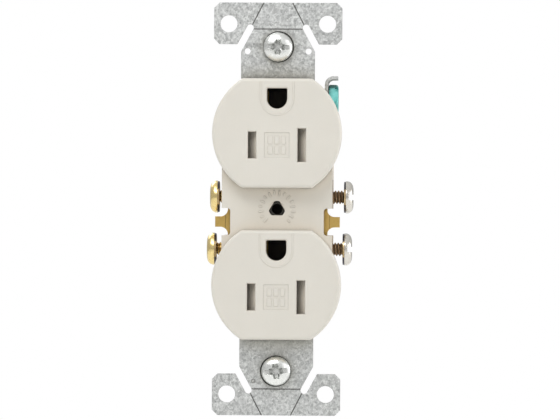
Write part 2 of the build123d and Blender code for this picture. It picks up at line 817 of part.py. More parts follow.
def make_slider(centre):
    """The sliding shutter, closed over both slots, with a ramp beside each window."""
    sides = (slider_left, slider_right)
    heights = (centre + slider_low, centre + slider_high)
    slider = block(sides, (slider_front, slider_back), heights)
    for window in blade_windows(centre, -shutter_travel, slider_front - past, past):
        slider -= window
    for x, width, height in blade_slots:
        edge = x - shutter_travel + width / 2 + shutter_window_margin
        ramp = Polygon(
            (edge - join, slider_front), (edge + ramp_length, slider_front),
            (edge - join, slider_back - ramp_land), align=None,
        )
        low = centre - blade_drop - height / 2
        slider -= extrude(Plane.XY.offset(low) * ramp, amount=height)
    start = spring_post_x - spring_length
    end = spring_post_x + spring_post_width + fit_gap
    half = spring_radius + spring_wire_radius + spring_pocket_play
    height = centre - blade_drop
    pocket = (slider_back - spring_pocket_depth, slider_back + past)
    return slider - block((start, end), pocket, (height - half, height + half))


def make_spring(centre):
    """The coil that pushes a slider closed."""
    wire = spring_wire_radius
    coil_length = spring_length - 2 * (wire + spring_end_gap)
    path = Helix(pitch=coil_length / spring_turns, height=coil_length, radius=spring_radius)
    coil = sweep(Plane(origin=path @ 0, z_dir=path % 0) * Circle(wire), path=path)
    start = spring_post_x - spring_length + wire + spring_end_gap
    depth = slider_back - spring_pocket_depth / 2
    return Pos(start, depth, centre - blade_drop) * Rot(0, 90, 0) * coil


# Push-in clamps

def make_clamp(up):
    """A right-hand spring leaf that bites on a pushed-in wire; up is 1 above the terminals."""
    pivot = clamp_axis(up)
    tip = (clamp_tip_depth, terminal_centre + up * (plate_half_height + clamp_tip_gap))
    left = wire_port_x - clamp_width / 2
    leaf = bar_between(pivot, tip, clamp_thickness) + Pos(*pivot) * Circle(clamp_root_radius)
    return extrude(Plane.YZ.offset(left) * leaf, amount=clamp_width)


# Screws

def make_terminal_screw(height, gap, slot_along_z):
    """A right-hand binding screw that stands the given gap off its plate."""
    under = plate_outside + gap
    top = under + terminal_head_thickness
    head = rod_x(screw_depth, height, terminal_head_radius, under, top)
    head = fillet(head.edges().sort_by(Axis.X)[-1], head_round)
    slot = (top - screw_slot_depth, top + past)
    half = screw_slot_width / 2
    if slot_along_z:
        head -= block(slot, (screw_depth - half, screw_depth + half), (-deep_cut, deep_cut))
    else:
        head -= block(slot, (-deep_cut, deep_cut), (height - half, height + half))
    return head + rod_x(screw_depth, height, thread_radius, under - terminal_thread_length, under)


def make_ground_screw():
    """The slotted hex-head screw of the ground terminal."""
    under = ground_plate_x + ground_plate_thickness + seat_gap
    top = under + ground_head_thickness
    hexagon = RegularPolygon(ground_head_flats / 2, 6, major_radius=False, rotation=ground_head_turn)
    axis = Pos(ground_screw_depth, ground_screw_z)
    head = extrude(Plane.YZ.offset(under) * axis * hexagon, amount=ground_head_thickness)
    crown = rod_x(ground_screw_depth, ground_screw_z, ground_crown_radius, under, top)
    head &= fillet(crown.edges().sort_by(Axis.X)[-1], ground_head_round)
    slot = axis * Rot(0, 0, ground_slot_turn) * Rectangle(deep_cut, ground_slot_width)
    head -= extrude(Plane.YZ.offset(top - ground_slot_depth) * slot, amount=ground_slot_depth + past)
    start = under - ground_thread_length
    return head + rod_x(ground_screw_depth, ground_screw_z, thread_radius, start, under)


def make_mounting_screw(height):
    """A domed screw that fastens the strap to the wall box, with a relief behind its washer."""
    under = strap_front - mounting_head_stand
    top = under - mounting_head_thickness
    head = rod_y(0, height, mounting_head_radius, top, under)
    head = fillet(head.edges().sort_by(Axis.Y)[0], mounting_head_round)
    drive = Pos(0, height) * cross(drive_cross_length, drive_cross_width)
    head -= slab(drive, top - past, top + drive_cross_depth)
    relief_end = relief_start + relief_length
    tip = under + mounting_shank_length
    screw = head + rod_y(0, height, thread_radius, under, relief_start)
    screw += rod_y(0, height, relief_radius, relief_start, relief_end)
    return screw + rod_y(0, height, thread_radius, relief_end, tip)


def make_washer(height):
    """The square washer that keeps a mounting screw in the strap."""
    outline = Pos(0, height) * RectangleRounded(washer_size, washer_size, washer_corner)
    outline -= Pos(0, height) * Circle(tapped_hole_radius)
    return slab(outline, seat_gap, seat_gap + washer_thickness)


def make_assembly_screws(places):
    """Two screws that hold the body, strap and cover together, driven from the back."""
    screws = []
    for x, z in places:
        end = assembly_seat + assembly_head_thickness
        head = rod_y(x, z, assembly_head_radius, assembly_seat, end)
        drive = Pos(x, z) * cross(assembly_cross_length, assembly_cross_width)
        head -= slab(drive, end - assembly_cross_depth, end + past)
        screws.append(head + rod_y(x, z, assembly_radius, assembly_tip, assembly_seat))
    return Compound(children=screws)


def to_left(shape):
    """The left-hand mirror image of a right-hand shape."""
    return mirror(shape, about=Plane.YZ)


terminal_bar = make_bar()
pieces = {
    "mounting_strap": make_strap(),
    "face_cover": make_cover(),
    "back_body": make_body(),
    "neutral_terminal_bar": terminal_bar,
    "hot_terminal_bar": to_left(terminal_bar),
    "upper_hot_screw": to_left(make_terminal_screw(screw_heights["upper"], upper_hot_gap, True)),
    "lower_hot_screw": to_left(make_terminal_screw(screw_heights["lower"], lower_hot_gap, True)),
    "upper_neutral_screw": make_terminal_screw(screw_heights["upper"], upper_neutral_gap, False),
    "lower_neutral_screw": make_terminal_screw(screw_heights["lower"], lower_neutral_gap, False),
    "ground_screw": make_ground_screw(),
}
for name, centre in face_centres.items():
    up = 1 if name == "upper" else -1
    pieces[f"{name}_ground_contact"] = make_ground_contact(centre)
    pieces[f"{name}_ground_rivet"] = make_rivet(centre)
    pieces[f"{name}_shutter_guide"] = make_guide(centre)
    pieces[f"{name}_shutter_slider"] = make_slider(centre)
    pieces[f"{name}_shutter_spring"] = make_spring(centre)
    pieces[f"{name}_neutral_wire_clamp"] = make_clamp(up)
    pieces[f"{name}_hot_wire_clamp"] = to_left(make_clamp(up))
    pieces[f"{name}_mounting_screw"] = make_mounting_screw(up * screw_spacing / 2)
    pieces[f"{name}_retaining_washer"] = make_washer(up * screw_spacing / 2)
    pieces[f"{name}_assembly_screws"] = make_assembly_screws(assembly_places[name])

os.makedirs("parts", exist_ok=True)
for node, shape in pieces.items():
    export_step(shape, f"parts/{node}.step")
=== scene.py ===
import json
import math
import bpy
from mathutils import Matrix, Vector


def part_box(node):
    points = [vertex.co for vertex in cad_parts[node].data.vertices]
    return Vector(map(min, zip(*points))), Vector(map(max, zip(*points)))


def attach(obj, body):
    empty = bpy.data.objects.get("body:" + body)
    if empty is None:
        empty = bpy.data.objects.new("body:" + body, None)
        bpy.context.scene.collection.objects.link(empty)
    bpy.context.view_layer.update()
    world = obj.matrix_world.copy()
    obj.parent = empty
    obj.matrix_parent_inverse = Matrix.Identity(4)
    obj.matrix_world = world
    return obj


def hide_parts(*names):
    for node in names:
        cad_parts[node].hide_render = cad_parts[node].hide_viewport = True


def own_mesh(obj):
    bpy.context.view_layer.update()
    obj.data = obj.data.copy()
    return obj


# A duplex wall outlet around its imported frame. Lengths are in metres, in the frame's own axes:
# +X right, +Z up, and the faces look along -Y.
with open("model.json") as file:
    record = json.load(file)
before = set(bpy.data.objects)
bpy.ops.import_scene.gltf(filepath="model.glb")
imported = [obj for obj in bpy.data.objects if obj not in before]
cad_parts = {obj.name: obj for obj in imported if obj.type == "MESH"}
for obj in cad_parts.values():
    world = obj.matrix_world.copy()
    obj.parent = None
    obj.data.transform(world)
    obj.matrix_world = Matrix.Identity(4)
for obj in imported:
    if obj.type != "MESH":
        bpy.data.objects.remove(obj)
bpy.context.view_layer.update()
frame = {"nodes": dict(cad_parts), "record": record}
MM = 0.001

# Camera
CAMERA_DISTANCE = 1.15
CAMERA_SHIFT_X = 0.72 * MM
CAMERA_SHIFT_Z = -0.23 * MM
CAMERA_ROLL = math.radians(0.35)
CAMERA_TURN = math.radians(1.5)  # the camera stands this far round to the right
SENSOR_WIDTH = 36.0
VIEW_WIDTH = 144.2 * MM          # how much of the strap's plane the image takes in

# Stage and light
FLOOR_HEIGHT = -0.13
FLOOR_RADIUS = 1.2
FLOOR_SIDES = 96
SKY_STOPS = (                    # heights, from straight down to straight up, and brightness
    (0.0, 0.29), (0.35, 0.385), (0.55, 0.48), (1.0, 0.69),
)
SKY_BLUE = 0.99                  # the sky's blue, as a share of its red and green
SOFTBOXES = (                    # name, place, side and watts
    ("key", (-0.28, -0.42, 0.58), 0.45, 2.0),
    ("fill", (0.9, -0.7, 0.3), 0.9, 1.9),
    ("side", (0.75, 0.12, 0.08), 0.4, 1.6),
    ("top", (-0.04, -0.3, 0.24), 0.12, 0.16),
    ("back", (-0.5, 0.8, 0.7), 0.7, 4.0),
)

# Turned pieces and threads
AROUND = 72                      # points around a turned piece
DOME_STEPS = 14                  # rings up a domed head
RING_STEPS = 14                  # rings along one turn of a thread
PITCH_6_32 = 0.794 * MM
CREST_6_32 = 1.75 * MM           # radius over the thread's crests
THREAD_DEPTH = 0.42 * MM
ROOT_SHARE = 0.1                 # share of a half turn that lies flat at the root
FLANK_SHARE = 0.72               # share of it in which the thread rises to its crest
POINT_SHARE = 0.62               # a pointed tip's radius, as a share of the thread's
SHOULDER = 1.82 * MM             # radius of a screw's neck under its head

# Terminal screws
BINDING_HEAD = 2.45 * MM         # from the head's underside to its top
BINDING_FLAT = 1.7 * MM          # radius of the flat on its dome
BINDING_SLOT = 1.45 * MM
BINDING_SLOT_DEPTH = 1.26 * MM
COLLAR = (                       # heights above the underside and distances in from the rim, in mm
    (0.0, 0.3), (0.06, 0.16), (0.45, 0.1), (0.5, 0.0), (0.7, 0.0),
)
PAINTED_SHADE_RADIUS = 2.4 * MM          # where the painted shade starts on the underside
PAINTED_SHADE_HEIGHT = 0.48 * MM         # how far up the collar the painted shade goes
PAINTED_REFLECTION_HALF = 2.0 * MM            # half the height of the painted brass-coloured reflection between the painted shade bands

# Ground screw
HEX_HEAD = 2.6 * MM
HEX_FLAT = 3.5 * MM              # from the axis to a flat
HEX_WASHER = 3.35 * MM           # radius of the round underside
HEX_LOW_CORNER = 3.8 * MM
HEX_CORNER = 4.0 * MM
HEX_CROWN = 0.95 * MM            # height of the rounded crown
HEX_CROWN_INSET = 1.1 * MM       # how far the crown draws in
HEX_CROWN_STEPS = 8
HEX_SLOT = 1.2 * MM
HEX_SLOT_DEPTH = 1.0 * MM
HEX_SLOT_TURN = math.radians(114)  # from a corner of the hexagon
HEX_TURN = math.radians(14)

# Mounting screws
MOUNTING_HEAD = 2.2 * MM
MOUNTING_NECK = 1.8 * MM
MOUNTING_RIM = 0.55 * MM         # height of the head's straight rim
MOUNTING_FLAT = 0.4 * MM
MOUNTING_POINT = 1.4 * MM
MOUNTING_CROSS = (4.5 * MM, 1.5 * MM, 1.0 * MM, 1.9 * MM)  # length, width, inner corner and depth
MOUNTING_SLOT = 1.15 * MM
MOUNTING_SLOT_DEPTH = 0.6 * MM
MOUNTING_TURNS = (("upper", -3), ("lower", 6))  # how far each cross is turned, in degrees

# Assembly screws
PAN_HEAD = 1.5 * MM
PAN_NECK = 1.4 * MM
PAN_RIM = 0.35 * MM
PAN_FLAT = 0.9 * MM
PAN_CREST = 1.35 * MM
PAN_PITCH = 1.05 * MM
PAN_THREAD_DEPTH = 0.36 * MM
PAN_POINT = 2.5 * MM
PAN_CROSS = (2.6 * MM, 0.75 * MM, 0.45 * MM, 1.1 * MM)

# Shutter springs
SPRING_WIRE = 0.1 * MM           # the wire's radius
SPRING_TURNS = 8.5
SPRING_STEPS = 24                # steps in one turn
WIRE_SIDES = 10
CLOSED_SHARE = 0.09              # the part of the turns that lies closed at either end
CLOSED_RISE = 0.06               # the length's share that rises evenly, closed turns included


# Materials

class Shader:
    """A material under construction, with short calls for the nodes it needs."""

    def __init__(self, name):
        self.material = bpy.data.materials.new(name)
        self.material.use_nodes = True
        self.tree = self.material.node_tree
        self.principled = self.tree.nodes["Principled BSDF"]
        self.place = self.add("ShaderNodeTexCoord").outputs["Object"]

    def add(self, kind, **settings):
        node = self.tree.nodes.new(kind)
        for key, value in settings.items():
            setattr(node, key, value)
        return node

    def feed(self, socket, value):
        """Links an output to a socket, or sets the socket's own value."""
        if isinstance(value, bpy.types.NodeSocket):
            self.tree.links.new(value, socket)
        else:
            socket.default_value = value

    def set(self, **values):
        """Sets the principled shader's sockets, with underscores for spaces."""
        for key, value in values.items():
            self.feed(self.principled.inputs[key.replace("_", " ")], value)

    def stretched(self, x=1.0, y=1.0, z=1.0):
        """The object's coordinates, stretched along each axis."""
        mapping = self.add("ShaderNodeMapping")
        self.feed(mapping.inputs["Vector"], self.place)
        mapping.inputs["Scale"].default_value = (x, y, z)
        return mapping.outputs["Vector"]

    def noise(self, size, detail=3.0, rough=0.55, place=None):
        """Noise whose features are about the given size in metres."""
        node = self.add("ShaderNodeTexNoise")
        self.feed(node.inputs["Vector"], place or self.place)
        node.inputs["Scale"].default_value = 1.0 / size
        node.inputs["Detail"].default_value = detail
        node.inputs["Roughness"].default_value = rough
        return node.outputs["Fac"]

    def cells(self, size, place=None):
        """A random value for each crystal of the given size."""
        node = self.add("ShaderNodeTexVoronoi")
        self.feed(node.inputs["Vector"], place or self.place)
        node.inputs["Scale"].default_value = 1.0 / size
        split = self.add("ShaderNodeSeparateColor")
        self.feed(split.inputs["Color"], node.outputs["Color"])
        return split.outputs["Red"]

    def span(self, value, low, high, to_low=0.0, to_high=1.0):
        """Maps a range of values to another, and stops at its ends."""
        node = self.add("ShaderNodeMapRange")
        self.feed(node.inputs["Value"], value)
        ends = {"From Min": low, "From Max": high, "To Min": to_low, "To Max": to_high}
        for key, number in ends.items():
            node.inputs[key].default_value = number
        return node.outputs["Result"]

    def math(self, operation, first, second):
        node = self.add("ShaderNodeMath", operation=operation)
        self.feed(node.inputs[0], first)
        self.feed(node.inputs[1], second)
        return node.outputs["Value"]

    def mix(self, factor, first, second):
        """A colour between two others."""
        node = self.add("ShaderNodeMix", data_type="RGBA")
        colours = [socket for socket in node.inputs if socket.type == "RGBA"]
        self.feed(node.inputs["Factor"], factor)
        self.feed(colours[0], first)
        self.feed(colours[1], second)
        return [socket for socket in node.outputs if socket.type == "RGBA"][0]

    def crevice(self, reach):
        """1 in the open and towards 0 in corners nearer than the reach."""
        node = self.add("ShaderNodeAmbientOcclusion", samples=6)
        node.inputs["Distance"].default_value = reach
        return node.outputs["AO"]

    def enclosed(self, reach, power=2.2):
        """0 in the open and 1 deep inside a hollow."""
        return self.math("POWER", self.span(self.crevice(reach), 0.0, 1.0, 1.0, 0.0), power)

    def rounded(self, radius):
        """The surface's normal with its sharp edges rounded off."""
        node = self.add("ShaderNodeBevel", samples=6)
        node.inputs["Radius"].default_value = radius
        return node.outputs["Normal"]

    def edges(self, radius):
        """1 along sharp edges and 0 elsewhere."""
        product = self.add("ShaderNodeVectorMath", operation="DOT_PRODUCT")
        self.feed(product.inputs[0], self.rounded(radius))
        self.feed(product.inputs[1], self.add("ShaderNodeNewGeometry").outputs["Normal"])
        return self.span(product.outputs["Value"], 0.99, 0.8)

    def in_corners(self, tone, corner_colour, reach, low, high, amount=1.0):
        """A tone that turns to another in corners nearer than the reach; some materials use it for real
        stains and others for painted shade.
        """
        return self.mix(self.span(self.crevice(reach), low, high, amount, 0.0), tone, corner_colour)

    def on_edges(self, tone, edge_colour, radius, amount):
        """A tone that turns to another along sharp edges; some materials use it for real wear and others
        for painted highlights and painted shade.
        """
        return self.mix(self.math("MULTIPLY", self.edges(radius), amount), tone, edge_colour)

    def bump(self, height, depth, normal=None):
        """A normal disturbed by a height of the given depth in metres."""
        node = self.add("ShaderNodeBump")
        node.inputs["Strength"].default_value = 1.0
        node.inputs["Distance"].default_value = depth
        self.feed(node.inputs["Height"], height)
        if normal is not None:
            self.feed(node.inputs["Normal"], normal)
        return node.outputs["Normal"]


def colour(red, green, blue):
    return (red, green, blue, 1.0)


def scaled(tone, red, green=None, blue=None):
    """A tone with its parts multiplied, all by the first share unless the others are given."""
    shares = (red, red if green is None else green, red if blue is None else blue)
    return colour(*[min(1.0, part * share) for part, share in zip(tone, shares)])


def plastic(name, base, hollow_shade, rough, edge_radius):
    """Moulded plastic: fine grain, uneven gloss, paler edges that are partly wear and partly a painted
    highlight, painted warm shade in corners and painted dark shade in creases and hollows.
    """
    shader = Shader(name)
    cloud = shader.span(shader.noise(14 * MM), 0.3, 0.7)
    speck = shader.span(shader.noise(0.35 * MM, detail=2.0), 0.35, 0.65)
    tone = shader.mix(cloud, colour(*base), scaled(base, 0.965))
    tone = shader.mix(shader.math("MULTIPLY", speck, 0.12), tone, scaled(base, 0.86))
    # paler edges: partly wear, partly a painted highlight where the edges catch the light
    tone = shader.on_edges(tone, scaled(base, 1.12), edge_radius, 0.35)
    # painted warm shade in corners within 9 mm, standing in for shading and light bounced off the plastic
    tone = shader.in_corners(tone, scaled(base, 1.07, 0.99, 0.90), 9 * MM, 0.5, 0.95, 0.5)
    # painted dark shade in tight creases, at the base of raised marks and lines
    tone = shader.in_corners(tone, scaled(base, 0.45), 0.35 * MM, 0.6, 0.98, 0.2)
    # painted dark shade deep inside hollows
    tone = shader.mix(shader.enclosed(1.4 * MM), tone, colour(*hollow_shade))
    # more painted dark shade where the corners close in most
    tone = shader.in_corners(tone, colour(*hollow_shade), 9 * MM, 0.12, 0.34)
    grain = shader.math("ADD", shader.noise(0.18 * MM, detail=2.0), shader.noise(1.6 * MM))
    shader.set(
        Base_Color=tone,
        Roughness=shader.span(shader.noise(3 * MM), 0.3, 0.7, rough - 0.06, rough + 0.07),
        IOR=1.5,
        Normal=shader.bump(grain, 0.006 * MM, shader.rounded(edge_radius)),
    )
    shader.principled.inputs["Subsurface Weight"].default_value = 0.06
    shader.principled.inputs["Subsurface Radius"].default_value = (1.0, 0.8, 0.6)
    shader.principled.inputs["Subsurface Scale"].default_value = 0.6 * MM
    return shader.material


def galvanised():
    """Zinc-coated sheet steel: fine crystals, dull patches, dark flecks and scratches, with painted olive
    shade and painted black shade in corners and painted dark shade along its edges.
    """
    dark_zinc, pale_zinc = colour(0.40, 0.41, 0.405), colour(0.90, 0.91, 0.90)
    dull_zinc, painted_olive_shade = colour(0.50, 0.51, 0.52), colour(0.36, 0.345, 0.28)
    fleck_tone, scratch_tone = colour(0.22, 0.22, 0.23), colour(0.25, 0.25, 0.26)
    edge_tone, painted_black_shade = colour(0.12, 0.12, 0.12), colour(0.006, 0.006, 0.006)
    shader = Shader("galvanised_steel")
    crystal = shader.cells(0.62 * MM)
    small = shader.cells(0.3 * MM, shader.stretched(1.0, 1.0, 0.8))
    cloud = shader.noise(5 * MM)
    mottle = shader.math("ADD", shader.math("MULTIPLY", crystal, 0.5), shader.math("MULTIPLY", small, 0.5))
    tone = shader.mix(mottle, dark_zinc, pale_zinc)
    tone = shader.mix(shader.span(cloud, 0.35, 0.7, 0.0, 0.2), tone, dull_zinc)
    fleck = shader.span(shader.noise(0.55 * MM, detail=1.0), 0.64, 0.72, 0.0, 0.5)
    tone = shader.mix(fleck, tone, fleck_tone)
    scratch = shader.noise(0.5 * MM, detail=2.0, place=shader.stretched(0.06, 1.0, 1.6))
    tone = shader.mix(shader.span(scratch, 0.66, 0.74, 0.0, 0.35), tone, scratch_tone)
    # painted olive shade in corners within 5 mm, standing in for shade and the plastic reflected in the
    # steel
    tone = shader.in_corners(tone, painted_olive_shade, 5 * MM, 0.45, 0.92, 0.75)
    # painted black shade in the nearest corners and holes
    tone = shader.in_corners(tone, painted_black_shade, 3 * MM, 0.42, 0.6)
    # painted dark shade along the rolled-over edges
    tone = shader.on_edges(tone, edge_tone, 0.16 * MM, 0.5)
    height = shader.math("ADD", shader.math("MULTIPLY", crystal, 0.6), shader.noise(0.3 * MM))
    shader.set(
        Base_Color=tone,
        Metallic=0.82,
        Roughness=shader.span(mottle, 0.1, 0.9, 0.36, 0.56),
        Normal=shader.bump(height, 0.012 * MM, shader.rounded(0.14 * MM)),
    )
    return shader.material


def rolled_brass():
    """Rolled brass strip: fine lines along it, tarnish in patches and in corners."""
    bright, tarnish = colour(0.86, 0.60, 0.20), colour(0.54, 0.35, 0.10)
    corner_stain, edge_colour = colour(0.10, 0.06, 0.02), colour(0.95, 0.78, 0.42)
    shader = Shader("bar_brass")
    lines = shader.noise(0.25 * MM, detail=3.0, place=shader.stretched(1.0, 0.08, 1.0))
    patch = shader.span(shader.noise(2.2 * MM, detail=4.0), 0.4, 0.7)
    tone = shader.mix(shader.math("MULTIPLY", lines, 0.5), bright, tarnish)
    tone = shader.mix(shader.math("MULTIPLY", patch, 0.5), tone, tarnish)
    tone = shader.in_corners(tone, corner_stain, 1.2 * MM, 0.3, 0.95, 0.75)
    # edges worn bright
    tone = shader.on_edges(tone, edge_colour, 0.12 * MM, 0.4)
    shader.set(
        Base_Color=tone,
        Metallic=0.95,
        Roughness=shader.span(lines, 0.2, 0.8, 0.26, 0.44),
        Normal=shader.bump(lines, 0.008 * MM, shader.rounded(0.1 * MM)),
    )
    return shader.material


def plated(name, bright, dull, corner_colour, rough, painted_shade_amount):
    """A bright plated head: a fine grain, soft dull patches, painted shade in its corners and a painted
    highlight along its edges.
    """
    shader = Shader(name)
    patch = shader.span(shader.noise(1.1 * MM, detail=3.0), 0.42, 0.68)
    fine = shader.noise(0.12 * MM, detail=2.0)
    tone = shader.mix(shader.math("MULTIPLY", patch, 0.45), colour(*bright), colour(*dull))
    # painted shade in corners, recesses and slots
    tone = shader.in_corners(tone, colour(*corner_colour), 0.9 * MM, 0.3, 0.95, painted_shade_amount)
    # painted highlight along edges
    tone = shader.on_edges(tone, colour(0.95, 0.93, 0.88), 0.08 * MM, 0.3)
    shader.set(
        Base_Color=tone,
        Metallic=1.0,
        Roughness=shader.span(patch, 0.0, 1.0, rough, rough + 0.14),
        Normal=shader.bump(fine, 0.003 * MM, shader.rounded(0.09 * MM)),
    )
    return shader.material


def oily_thread():
    """Screw thread darkened by plating and oil, with its crests rubbed bright."""
    dark, tan = colour(0.28, 0.19, 0.12), colour(0.64, 0.50, 0.35)
    oil, rubbed = colour(0.045, 0.03, 0.02), colour(0.62, 0.52, 0.38)
    shader = Shader("oily_thread")
    streak = shader.noise(0.5 * MM, detail=4.0)
    tone = shader.mix(streak, dark, tan)
    tone = shader.in_corners(tone, oil, 0.5 * MM, 0.35, 0.9, 0.9)
    tone = shader.on_edges(tone, rubbed, 0.06 * MM, 0.4)
    shader.set(
        Base_Color=tone,
        Metallic=0.85,
        Roughness=shader.span(streak, 0.3, 0.7, 0.3, 0.5),
        Normal=shader.bump(streak, 0.006 * MM),
    )
    return shader.material


def green_lacquer():
    """Translucent green lacquer over steel, thin and pale where it has run off the edges; that paleness is
    partly a painted highlight.
    """
    thick, thin = colour(0.075, 0.39, 0.36), colour(0.19, 0.60, 0.57)
    edge_tone, pooled = colour(0.40, 0.82, 0.88), colour(0.01, 0.12, 0.12)
    shader = Shader("green_lacquer")
    pool = shader.span(shader.noise(1.3 * MM, detail=3.0), 0.3, 0.7)
    tone = shader.mix(pool, thick, thin)
    # pale edges: partly thin lacquer, partly a painted highlight
    tone = shader.on_edges(tone, edge_tone, 0.2 * MM, 0.6)
    tone = shader.in_corners(tone, pooled, 0.9 * MM, 0.3, 0.95, 0.7)
    shader.set(
        Base_Color=tone,
        Metallic=0.4,
        Roughness=shader.span(pool, 0.0, 1.0, 0.36, 0.5),
        Normal=shader.bump(shader.noise(0.4 * MM), 0.01 * MM, shader.rounded(0.16 * MM)),
    )
    shader.principled.inputs["Coat Weight"].default_value = 0.3
    shader.principled.inputs["Coat Roughness"].default_value = 0.25
    return shader.material


def spring_steel():
    """Drawn spring wire or leaf: a fine grain and a straw tint from tempering."""
    grey, straw, oil = colour(0.44, 0.44, 0.46), colour(0.56, 0.50, 0.40), colour(0.05, 0.05, 0.05)
    shader = Shader("spring_steel")
    grain = shader.noise(0.1 * MM, detail=2.0)
    tint = shader.noise(1.5 * MM)
    tone = shader.mix(tint, grey, straw)
    tone = shader.in_corners(tone, oil, 0.4 * MM, 0.3, 0.95, 0.7)
    shader.set(
        Base_Color=tone,
        Metallic=1.0,
        Roughness=shader.span(grain, 0.3, 0.7, 0.25, 0.42),
        Normal=shader.bump(grain, 0.004 * MM, shader.rounded(0.05 * MM)),
    )
    return shader.material


def fibre():
    """Pressed fibre: matted short strands, fuzzy at the edges."""
    dark, pale, grime = colour(0.55, 0.50, 0.42), colour(0.85, 0.82, 0.74), colour(0.30, 0.26, 0.20)
    shader = Shader("fibre_washer")
    strands = shader.noise(0.35 * MM, detail=5.0, rough=0.7, place=shader.stretched(1.0, 1.0, 0.3))
    across = shader.noise(0.35 * MM, detail=5.0, rough=0.7, place=shader.stretched(0.3, 1.0, 1.0))
    mat = shader.math("MAXIMUM", strands, across)
    tone = shader.mix(shader.span(mat, 0.4, 0.75), dark, pale)
    tone = shader.in_corners(tone, grime, 1.0 * MM, 0.3, 0.95, 0.5)
    fuzz = shader.bump(mat, 0.04 * MM, shader.rounded(0.12 * MM))
    shader.set(Base_Color=tone, Roughness=0.85, Normal=fuzz)
    return shader.material


def pale_floor():
    """A plain pale surface with a faint mottle."""
    shader = Shader("pale_floor")
    mottle = shader.noise(50 * MM, detail=2.0)
    tone = shader.mix(mottle, colour(0.84, 0.84, 0.83), colour(0.88, 0.88, 0.87))
    shader.set(Base_Color=tone, Roughness=0.8)
    return shader.material


PLASTICS = (  # name, base, painted shade deep inside hollows, roughness and edge radius
    ("almond_plastic", (0.735, 0.705, 0.64), (0.025, 0.02, 0.015), 0.36, 0.22 * MM),
    ("body_plastic", (0.77, 0.70, 0.60), (0.012, 0.010, 0.008), 0.46, 0.25 * MM),
    ("shutter_plastic", (0.88, 0.84, 0.76), (0.61, 0.57, 0.50), 0.42, 0.1 * MM),
    ("guide_plastic", (0.60, 0.58, 0.53), (0.16, 0.14, 0.11), 0.5, 0.1 * MM),
)
PLATINGS = (  # name, bright tone, dull tone, painted shade in corners, roughness and how strong that painted shade is
    ("brass_plate", (0.92, 0.74, 0.35), (0.80, 0.60, 0.24), (0.20, 0.11, 0.03), 0.2, 0.85),
    ("nickel_plate", (0.80, 0.77, 0.71), (0.64, 0.60, 0.54), (0.16, 0.12, 0.08), 0.18, 0.85),
    ("zinc_plate", (0.90, 0.91, 0.89), (0.74, 0.76, 0.75), (0.10, 0.10, 0.10), 0.24, 0.75),
    # painted shade for the top and bottom of a head's underside
    ("rim_painted_shade", (0.10, 0.10, 0.13), (0.06, 0.06, 0.08), (0.02, 0.02, 0.02), 0.3, 0.85),
    # painted brass-coloured reflection for the middle of a head's underside
    ("rim_painted_reflection", (0.66, 0.52, 0.30), (0.46, 0.36, 0.20), (0.10, 0.06, 0.03), 0.3, 0.85),
)
MATERIALS = {
    "galvanised_steel": galvanised(),
    "bar_brass": rolled_brass(),
    "oily_thread": oily_thread(),
    "green_paint": green_lacquer(),
    "spring_steel": spring_steel(),
    "fibre_washer": fibre(),
}
MATERIALS.update({settings[0]: plastic(*settings) for settings in PLASTICS})
MATERIALS.update({settings[0]: plated(*settings) for settings in PLATINGS})


# Mesh building

def mesh_piece(name, points, faces, material):
    """A new object from points and faces, with one material."""
    mesh = bpy.data.meshes.new(name)
    mesh.from_pydata(points, [], faces)
    mesh.update()
    piece = bpy.data.objects.new(name, mesh)
    bpy.context.scene.collection.objects.link(piece)
    mesh.materials.append(MATERIALS[material])
    return piece


def smooth(mesh, angle=35.0):
    """Smooth shading with edges sharper than the angle kept."""
    mesh.shade_smooth()
    mesh.set_sharp_from_angle(angle=math.radians(angle))


def settle(piece):
    """Applies a piece's modifiers to its mesh."""
    shown = piece.evaluated_get(bpy.context.evaluated_depsgraph_get())
    mesh = bpy.data.meshes.new_from_object(shown)
    piece.modifiers.clear()
    piece.data = mesh


def cut(piece, cutter):
    """Takes a cutter's volume out of a piece."""
    change = piece.modifiers.new("cut", "BOOLEAN")
    change.object = cutter
    change.operation = "DIFFERENCE"
    change.solver = "EXACT"
    settle(piece)
    bpy.data.objects.remove(cutter)


def turned(name, rings, material):
    """A closed piece turned about Z. Each ring is a height and a radius, or a radius for each angle."""
    points = []
    for height, radius in rings:
        for step in range(AROUND):
            angle = 2 * math.pi * step / AROUND
            reach = radius(angle) if callable(radius) else radius
            points.append((reach * math.cos(angle), reach * math.sin(angle), height))
    faces = [tuple(reversed(range(AROUND)))]
    for ring in range(len(rings) - 1):
        for step in range(AROUND):
            following = (step + 1) % AROUND
            low, high = ring * AROUND, (ring + 1) * AROUND
            faces.append((low + step, low + following, high + following, high + step))
    last = (len(rings) - 1) * AROUND
    faces.append(tuple(range(last, last + AROUND)))
    return mesh_piece(name, points, faces, material)


def thread_rings(start, end, crest, pitch=PITCH_6_32, depth=THREAD_DEPTH, point=0.0):
    """Rings of a threaded rod from its tip to its head, with a run-out at either end."""
    count = max(2, round((end - start) / pitch * RING_STEPS))
    rings = []
    for step in range(count + 1):
        height = start + (end - start) * step / count
        fade = min(1.0, (height - start) / pitch, (end - height) / (0.5 * pitch))
        taper = min(1.0, POINT_SHARE + (1 - POINT_SHARE) * (height - start) / point) if point else 1.0

        def radius(angle, height=height, fade=fade, taper=taper):
            phase = (height / pitch - angle / (2 * math.pi)) % 1.0
            ridge = min(1.0, max(0.0, (1.0 - abs(2 * phase - 1) - ROOT_SHARE) / FLANK_SHARE))
            return (crest - depth + depth * ridge * max(0.0, fade)) * taper

        rings.append((height, radius))
    return rings


